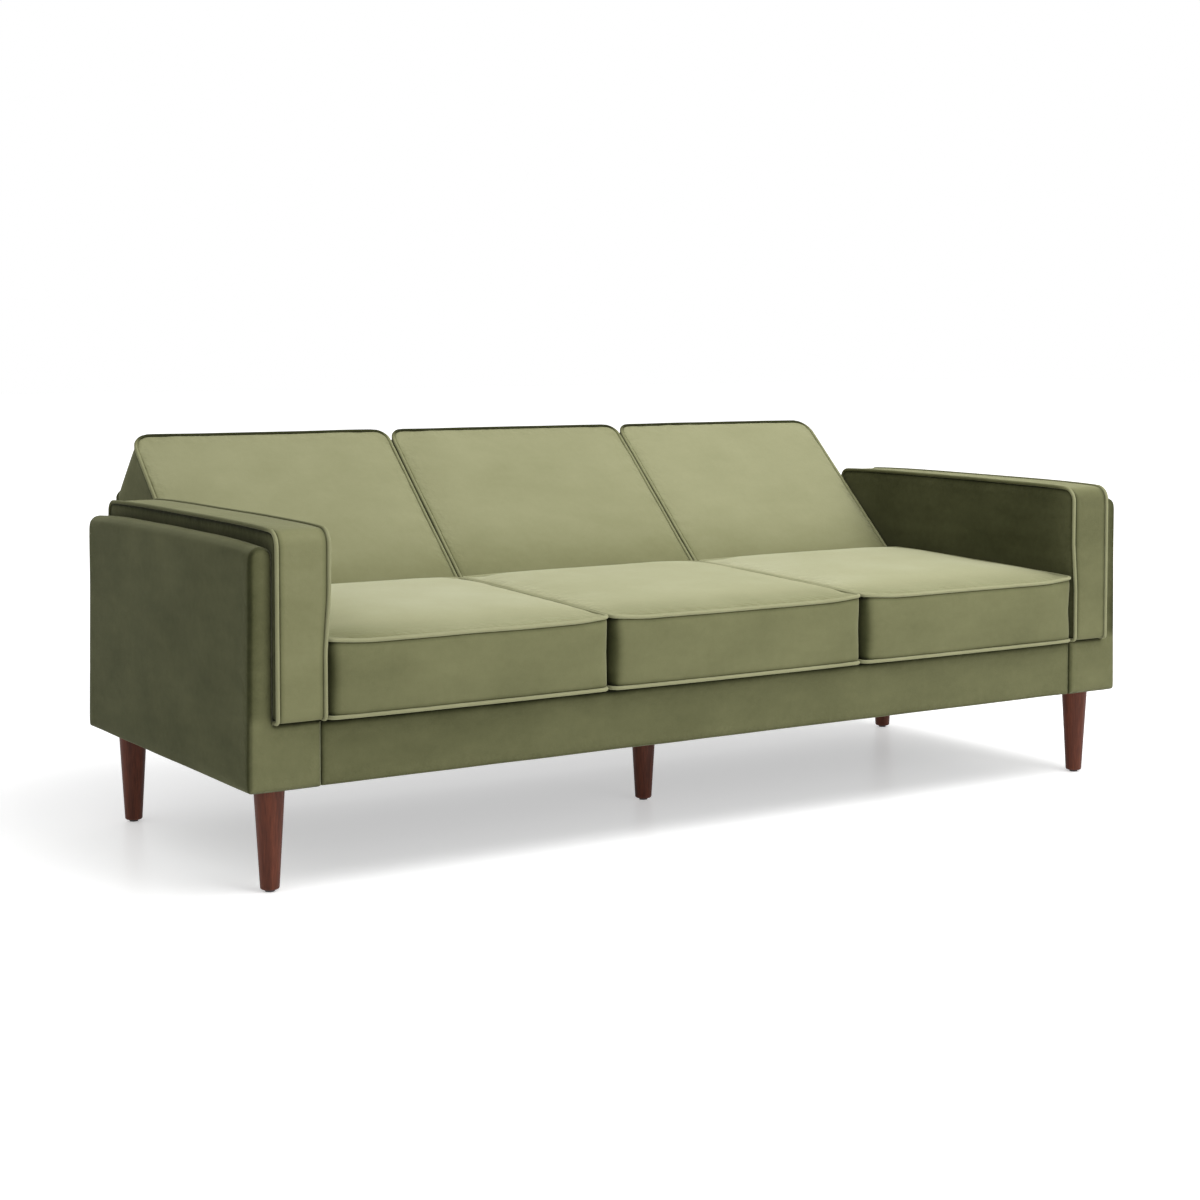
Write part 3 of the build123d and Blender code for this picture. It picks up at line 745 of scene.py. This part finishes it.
def back_matrix(x):
    """Local u along the sofa from x, v up the back from its lower edge, w from its front face to its rear."""
    pivot = Vector(next(j for j in frame["joints"] if j["name"] == "back_recline")["pos_m"])
    up = Vector((0, math.sin(LEAN), math.cos(LEAN)))
    rearward = Vector((0, math.cos(LEAN), -math.sin(LEAN)))
    origin = pivot + up * BACK_BOTTOM - rearward * BACK_FRONT
    origin.x = x
    return axes(RIGHT, up, rearward, origin)


def back_edges():
    """The X limits of the three sections of the back."""
    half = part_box("hinge_moving_plates")[1][0] - PLATE_PROUD
    return (-half, *BACK_JOINS, half)


def back_section(number, place):
    """A section of the back: padded face, round top corners, and a nose that clears the seat as it turns."""
    edges = back_edges()
    ends = (place == "left", place == "right")
    insets = [BACK_END_INSET if end else BACK_INSET for end in ends]
    corners = [BACK_END_CORNER if end else BACK_CORNER for end in ends]
    low, high = edges[number] + insets[0], edges[number + 1] - insets[1]
    height, depth = BACK_TOP - BACK_BOTTOM - INSET, BACK_FRONT + BACK_REAR
    slab = Slab(high - low, height, depth, (BACK_LOWER_CORNER, BACK_LOWER_CORNER, corners[1], corners[0]))
    u, v = slab.points[:, 0], slab.points[:, 1]
    top = (slab.region == "band") & (v > height - BACK_CORNER)
    face_rise = BACK_CROWN * np.clip(0.15 + v / 0.14, 0, 1)
    parts = [slab.region == "a", top, slab.region == "band"]
    rise = np.select(parts, [face_rise, BACK_TOP_RISE, BACK_SIDE_RISE], 0)
    pinned = slab.seams() | (slab.region == "b")
    points = inflate(slab, rise, pinned, ease=0.010, evening=2)
    points = clear_of_seat(waver(slab, points, 0.8 * MM, 8.0, number + 5))
    points[:, 1] += BACK_LIFT * (0.5 - (low + u) / (2 * edges[-1])) * v / height
    matrix = back_matrix(low)
    # Painted shade: the face darker towards the seat, and the side bands shaded
    face_shade = BACK_SHADES[place] - 0.27 * near(v, 0.12)
    shade = np.where(slab.region == "a", face_shade, BACK_BAND_SHADE)
    soft = tucked(slab, points, (slab.loop_a, slab.loop_b), TUCK)
    cover(f"back_cover_{place}", slab, soft, matrix, "back", f"back_cushion_{place}", shade)
    # Painted shade on the front cord's top run and on the whole rear cord
    front_cord = BACK_CORD_SHADES["front"] - 0.70 * near(height - slab.points[slab.loop_a][:, 1], 0.02)
    piping(f"back_piping_front_{place}", slab, points, slab.loop_a, matrix, "back", front_cord)
    piping(f"back_piping_rear_{place}", slab, points, slab.loop_b, matrix, "back", BACK_CORD_SHADES["rear"])


def clear_of_seat(points):
    """Keeps the lower front of a section on its circle round the pivot."""
    out = points.copy()
    below = np.minimum(out[:, 1] + BACK_BOTTOM, 0)
    reach = np.sqrt(np.maximum(BACK_FRONT**2 - below**2, 0))
    out[:, 2] = np.where(below < 0, np.maximum(out[:, 2], BACK_FRONT - reach + NOSE_CLEAR), out[:, 2])
    return out


def arm_pad(number, side):
    """The padded slab against the seat: a band over its front and top, and piping round both sides."""
    node = f"{side}_arm_pad"
    low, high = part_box(node)
    length, height = high[1] - low[1] - INSET, high[2] - low[2] - INSET
    depth = high[0] - low[0]
    slab = Slab(length, height, depth, PAD_CORNERS)
    points = inflate(slab, pad_rise(slab, low), slab.seams(), ease=0.002, evening=14)
    points = pad_shape(slab, points)
    points = waver(slab, points, 0.8 * MM, 7.0, number + 11)
    inner, away = (low[0], RIGHT) if side == "right" else (high[0], -RIGHT)
    matrix = axes(REAR, UP, away, (inner, low[1] + INSET, low[2] + INSET))
    soft = tucked(slab, points, (slab.loop_a, slab.loop_b), TUCK)
    cover(f"{side}_arm_pad_cover", slab, soft, matrix, "base", node, pad_shade(slab, side))
    for seam, loop in (("inner", slab.loop_a), ("outer", slab.loop_b)):
        # Painted light on the cords where they run down the lit front, painted shade along the rest
        cord_shade = PAD_CORD_SHADE + 0.50 * near(slab.points[loop][:, 0], 0.03)
        piping(f"{side}_arm_piping_{seam}", slab, points, loop, matrix, "base", cord_shade)


def pad_rise(slab, low):
    """How far the pad may swell: not beside the hinge, nor at its rear, which has a cloth over it."""
    u, v = slab.points[:, 0], slab.points[:, 1]
    hinge_low, hinge_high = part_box("hinge_fixed_plates")
    ahead = low[1] + u - hinge_low[1] - HINGE_IN
    above = low[2] + v - (hinge_low[2] + hinge_high[2]) / 2
    inner = PAD_RISE * (1 - near(np.hypot(ahead, above), HINGE_REACH))
    band = np.where(u > slab.size[0] - 1 * MM, 0, PAD_RISE)
    return np.select([slab.region == "a", slab.region == "band"], [inner, band], PAD_OUTER_RISE)


def pad_shape(slab, points):
    """The pad's slightly crowned top, and the lean of its upper front towards the seat."""
    length, height, depth = slab.size
    u, v, w = slab.points.T
    crown = np.clip(v / height, 0, 1) ** 6 * (1 - np.abs(2 * u / length - 1) ** 4)
    lean = np.clip((v - 0.12) / 0.10, 0, 1) * np.clip(1.15 - u / 0.55, 0, 1) * (1 - w / depth)
    out = points.copy()
    out[:, 1] += PAD_CROWN * crown - PAD_SETTLE
    out[:, 2] -= PAD_LEAN * lean
    return out


def pad_shade(slab, side):
    """Partly the nap, partly painted light and shade: shaded sides, lighter towards their ends, and a band that
    changes from its top's shade to its front's.
    """
    length, height, _ = slab.size
    u, v = slab.points[:, 0], slab.points[:, 1]
    top, front = PAD_SHADES[side]
    band = top + (front - top) * (near(u, 0.02) * (0.60 + 0.55 * v / height))
    sides = PAD_SIDE_SHADE + 0.10 * near(u, 0.05) + 0.08 * near(length - u, 0.15)
    return np.where(slab.region == "band", band, sides)


def arm_shell(number, side):
    """The side panel and the base under the pad: an L-shaped facing in front, velvet wrapped behind it."""
    node = f"{side}_arm_shell"
    low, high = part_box(node)
    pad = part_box(f"{side}_arm_pad")
    if side == "right":
        outer, inward, pad_outer = high[0], -RIGHT, pad[1][0]
    else:
        outer, inward, pad_outer = low[0], RIGHT, pad[0][0]
    panel = abs(outer - pad_outer)
    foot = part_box("front_apron")[1][2] - low[2]
    width, height, length = high[0] - low[0], high[2] - low[2], high[1] - low[1]
    slab = Slab(width, height, length, SHELL_CORNERS, notch=(panel, foot))
    u, v, w = slab.points.T
    is_outer = (slab.region == "band") & ((u < 1 * MM) | (v > height - SHELL_TOP_REACH))
    rise = np.select([slab.region == "a", is_outer], [FACING_RISE, SHELL_RISE], SHELL_HIDDEN_RISE)
    points = inflate(slab, rise, slab.seams(), ease=0.003, evening=10)
    along = np.abs(2 * w / length - 1)
    points[:, 1] += (SHELL_CROWN - SHELL_DROOP * along**5) * np.clip(v / height, 0, 1) ** 8
    points[:, 0] += SHELL_HOLLOW * np.clip(v / 0.3, 0, 1) * np.clip(1 - u / panel, 0, 1)
    points = waver(slab, points, 0.8 * MM, 6.0, number + 17)
    matrix = axes(inward, UP, REAR, (outer, low[1], low[2]))
    # Painted light and shade: the facing strip above the base darker with a painted highlight down its middle, the
    # outer panel shaded and lighter at its top
    above_base = np.clip((v - foot) / 0.02, 0, 1)
    strip = STRIP_SHADES[side] + 0.10 * near(np.abs(u - panel / 2), 0.012)
    facing = FACING_SHADE + (strip - FACING_SHADE) * above_base
    shade = np.where(slab.region == "a", facing, PANEL_SHADE + 0.10 * near(height - v, 0.012))
    soft = tucked(slab, points, (slab.loop_a, slab.loop_b), TUCK)
    cover(f"{side}_side_panel", slab, soft, matrix, "base", node, shade, piped=False)
    topstitch(f"{side}_side_topstitch", slab, points, matrix, panel)


def topstitch(name, slab, points, matrix, panel):
    """A row of stitches behind the facing's seam, over the top of the panel and down its outer side."""
    row = np.flatnonzero((slab.region == "band") & np.isclose(slab.points[:, 2], SEAM_STEPS[2]))
    outline = slab.points[slab.loop_a]
    chosen = np.flatnonzero((outline[:, 0] < panel - 4 * MM) & (outline[:, 1] > 10 * MM))
    out = slab.outward(slab.loop_a)
    turn = matrix.to_3x3()
    path = [matrix @ Vector(points[row[k]] + out[k] * 0.2 * MM) for k in chosen]
    stitches(name, path, [turn @ Vector(out[k]) for k in chosen], "base")


def apron():
    """Velvet drawn over the front rail, set back from the arm bases."""
    low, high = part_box("front_apron")
    slab = Slab(high[0] - low[0], high[2] - low[2], high[1] - low[1], (APRON_CORNER,) * 4)
    rise = np.where(slab.region == "a", APRON_RISE, 0.0)
    pinned = slab.seams() | (slab.region != "a")
    points = waver(slab, inflate(slab, rise, pinned, ease=0.002, evening=10), 0.7 * MM, 9.0, 31)
    u, v = slab.points[:, 0] / slab.size[0], slab.points[:, 1]
    # Painted shade: darker towards the left, and a painted shadow under the cushions along its top
    shade = APRON_SHADE + 0.09 * u**2 - 0.35 * near(slab.size[1] - v, 10 * MM)
    soft = tucked(slab, points, (slab.loop_a,), APRON_TUCK)
    cover("apron_cover", slab, soft, axes(RIGHT, UP, REAR, low), "base", "front_apron", shade, piped=False)


def stretched_cloth(name, node, body, width, length, matrix, seed):
    """Thin cloth held along its edges: a turned hem round it, and a slightly uneven middle."""
    us, vs = steps(width), steps(length)
    points, quads = [], []
    for v in vs:
        for u in us:
            edge = min(u, width - u, v, length - v)
            hem = HEM_RISE if edge < HEM else 0
            ripple = noise.noise(Vector((u * 9 + seed, v * 9, seed))) * CLOTH_RIPPLE * min(edge / 0.05, 1)
            points.append((u, v, hem + ripple))
    for j in range(len(vs) - 1):
        for i in range(len(us) - 1):
            first = j * len(us) + i
            quads.append([first, first + 1, first + len(us) + 1, first + len(us)])
    obj = mesh_object(name, points, quads, matrix)
    obj.data.materials.append(MATERIALS["black_cloth"])
    solid = obj.modifiers.new("thickness", "SOLIDIFY")
    solid.thickness = CLOTH_THICKNESS
    solid.offset = 1
    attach(obj, body)
    if node:
        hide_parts(node)


def cloths():
    """The cloths behind the rear rail, under the frame, behind the back and behind the arms."""
    low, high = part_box("rear_rail_cloth")
    matrix = axes(-RIGHT, UP, REAR, (high[0], low[1] + CLOTH_CLEAR, low[2]))
    stretched_cloth("rail_cloth", "rear_rail_cloth", "base", high[0] - low[0], high[2] - low[2], matrix, 3)
    low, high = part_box("dust_cover")
    matrix = axes(RIGHT, -REAR, -UP, (low[0], high[1], low[2] + CLOTH_CLEAR))
    stretched_cloth("under_cloth", "dust_cover", "base", high[0] - low[0], high[1] - low[1], matrix, 5)
    half = back_edges()[-1] - REAR_CLOTH_EDGE
    height = BACK_TOP - REAR_CLOTH_TOP - BACK_BOTTOM - REAR_CLOTH_EDGE
    shift = Matrix.Translation((0, REAR_CLOTH_EDGE, BACK_FRONT + BACK_REAR + CLOTH_CLEAR))
    matrix = back_matrix(half) @ shift @ Matrix.Scale(-1, 4, RIGHT)
    stretched_cloth("back_cloth", "back_rear_panel", "back", 2 * half, height, matrix, 7)
    arm_rear_cloths()


def arm_rear_cloths():
    """The cloths on the pads' rear ends. Both are one node of the frame, which the left one replaces."""
    low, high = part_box("arm_rear_cloths")
    for side, node in (("left", "arm_rear_cloths"), ("right", None)):
        pad_low, pad_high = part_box(f"{side}_arm_pad")
        width = pad_high[0] - pad_low[0] - 2 * ARM_CLOTH_EDGE
        matrix = axes(-RIGHT, UP, REAR, (pad_high[0] - ARM_CLOTH_EDGE, pad_high[1] + CLOTH_CLEAR, low[2]))
        stretched_cloth(f"{side}_arm_rear_cloth", node, "base", width, high[2] - low[2], matrix, 9)


# ---------------------------------------------------------------- the studio

def studio():
    """A pale floor under a wide ceiling light, a soft key light and a weak one in front, in a white world."""
    scene = bpy.context.scene
    scene.view_settings.view_transform = "Standard"
    scene.view_settings.look = "None"
    studio_floor()
    studio_world()
    area_light("ceiling", (0, 0, 9), (0, 0, 0), (28, 28), 1500)
    area_light("key", (0.9, -1.4, 3.6), (0.1, 0.1, 0.3), (3.2, 2.8), 150)
    area_light("front", (1.2, -5.0, 2.2), (0.0, 0.0, 0.4), (3.0, 2.0), 80)


def studio_floor():
    """A plain floor, evenly pale by its own glow, which grows with the distance from the sofa."""
    bpy.ops.mesh.primitive_plane_add(size=FLOOR_SIZE, location=(0, 0, 0))
    floor = bpy.context.object
    floor.name = "floor"
    shader = Shader("studio_floor")
    shader.colour(shader.noise(0.8, 2.0), (0.79, 0.79, 0.79), (0.81, 0.81, 0.81))
    place = shader.add("ShaderNodeTexCoord")
    distance = shader.add("ShaderNodeVectorMath", operation="LENGTH")
    glow = shader.add("ShaderNodeMapRange", interpolation_type="SMOOTHSTEP")
    for socket, value in FLOOR_GLOW.items():
        glow.inputs[socket].default_value = value
    shader.tree.links.new(place.outputs["Object"], distance.inputs[0])
    shader.tree.links.new(distance.outputs["Value"], glow.inputs["Value"])
    shader.tree.links.new(glow.outputs["Result"], shader.principled.inputs["Emission Strength"])
    floor.data.materials.append(shader.settings(
        Roughness=0.3, Specular_IOR_Level=0.3, Emission_Color=(1, 1, 1, 1)))


def studio_world():
    """White where it is seen, and a weaker even light on everything else."""
    world = bpy.data.worlds.new("studio")
    bpy.context.scene.world = world
    world.use_nodes = True
    tree = world.node_tree
    seen = tree.nodes.new("ShaderNodeLightPath")
    strength = tree.nodes.new("ShaderNodeMapRange")
    strength.inputs["To Min"].default_value = WORLD_LIGHT
    strength.inputs["To Max"].default_value = WORLD_SEEN
    background = tree.nodes["Background"]
    background.inputs["Color"].default_value = (1, 1, 1, 1)
    tree.links.new(seen.outputs["Is Camera Ray"], strength.inputs["Value"])
    tree.links.new(strength.outputs["Result"], background.inputs["Strength"])


def area_light(name, at, towards, size, power):
    """A rectangular light that faces a point."""
    data = bpy.data.lights.new(name, "AREA")
    data.shape = "RECTANGLE"
    data.size, data.size_y = size
    data.energy = power
    light = bpy.data.objects.new(name, data)
    light.location = at
    light.rotation_mode = "QUATERNION"
    light.rotation_quaternion = (Vector(towards) - Vector(at)).to_track_quat("-Z", "Y")
    bpy.context.scene.collection.objects.link(light)


def camera():
    """The photograph's viewpoint."""
    data = bpy.data.cameras.new("camera")
    data.lens = CAMERA_LENS
    data.sensor_width = 36
    data.shift_y = CAMERA_SHIFT_Y
    obj = bpy.data.objects.new("camera", data)
    obj.location = CAMERA_AT
    obj.rotation_euler = (math.pi / 2 + CAMERA_PITCH, 0, -CAMERA_YAW)
    bpy.context.scene.collection.objects.link(obj)
    bpy.context.scene.camera = obj


dress_cad_nodes()
for number, place in enumerate(PLACES):
    seat_cushion(number, place)
    back_section(number, place)
for number, side in enumerate(("left", "right")):
    arm_pad(number, side)
    arm_shell(number, side)
apron()
cloths()
studio()
camera()
